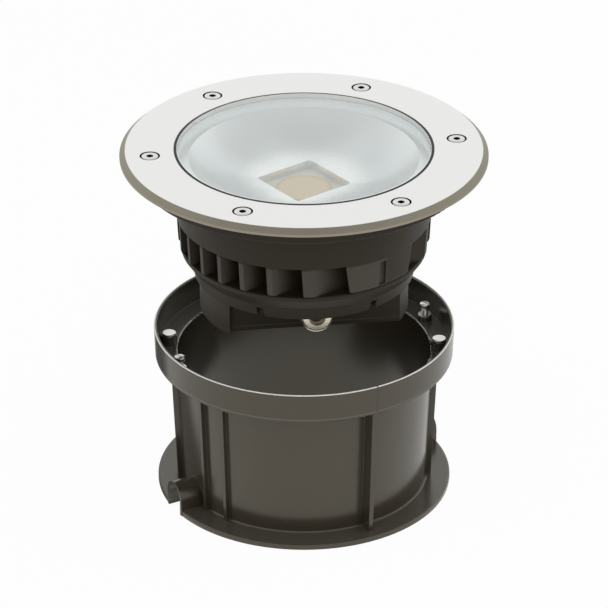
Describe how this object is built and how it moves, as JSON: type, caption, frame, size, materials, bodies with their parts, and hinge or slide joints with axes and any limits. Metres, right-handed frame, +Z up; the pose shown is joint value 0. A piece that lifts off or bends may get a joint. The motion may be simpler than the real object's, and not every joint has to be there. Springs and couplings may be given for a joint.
{
  "type": "recessed light",
  "caption": "Round in-ground recessed light: a luminaire with steel trim, flush glass and finned housing, lifted above the ribbed plastic pot that it drops into.",
  "frame": {"origin": "centre of the underside of the pot's foot flange", "axes": "+Z up along the shared axis of pot and luminaire, +X towards one trim screw, -Y the way the cable gland points"},
  "size_m": [0.23, 0.23, 0.2358],
  "materials": {
    "trim_steel": "brushed stainless steel",
    "screw_steel": "plain stainless steel",
    "clear_glass": "clear toughened glass",
    "black_rubber": "black silicone",
    "reflector_aluminium": "satin anodised",
    "holder_plastic": "white moulded plastic",
    "board_ceramic": "white board",
    "phosphor": "beige phosphor",
    "pad_grey": "soft grey pad",
    "housing_grey": "die-cast, dark grey powder coat",
    "pot_plastic": "dark grey moulded plastic, satin",
    "gland_nickel": "nickel-plated brass",
    "driver_case": "potted plastic case",
    "terminal_plastic": "white plastic"
  },
  "bodies": {
    "pot": {"recess_pot": "pot_plastic", "boss_rivets": "screw_steel", "clamp_washers": "screw_steel", "clamp_screws": "screw_steel"},
    "luminaire": {"trim_ring": "trim_steel", "trim_screws": "screw_steel", "front_glass": "clear_glass", "glass_gasket": "black_rubber", "glass_seat_seal": "black_rubber", "reflector": "reflector_aluminium", "led_holder": "holder_plastic", "holder_screws": "screw_steel", "thermal_pad": "pad_grey", "led_board": "board_ceramic", "led_emitter": "phosphor", "lamp_housing": "housing_grey", "box_seal": "black_rubber", "driver_box": "housing_grey", "led_driver": "driver_case", "driver_screws": "screw_steel", "terminal_block": "terminal_plastic", "cover_seal": "black_rubber", "driver_cover": "housing_grey", "cover_screws": "screw_steel", "gland_washer": "black_rubber", "gland_body": "gland_nickel", "gland_nut": "gland_nickel", "gland_seal": "black_rubber", "gland_lock_nut": "gland_nickel"}
  },
  "joints": [
    {"name": "lift", "type": "slide", "parent": "pot", "child": "luminaire", "axis": [0, 0, 1], "range_m": [-0.1085, 0.05]}
  ]
}
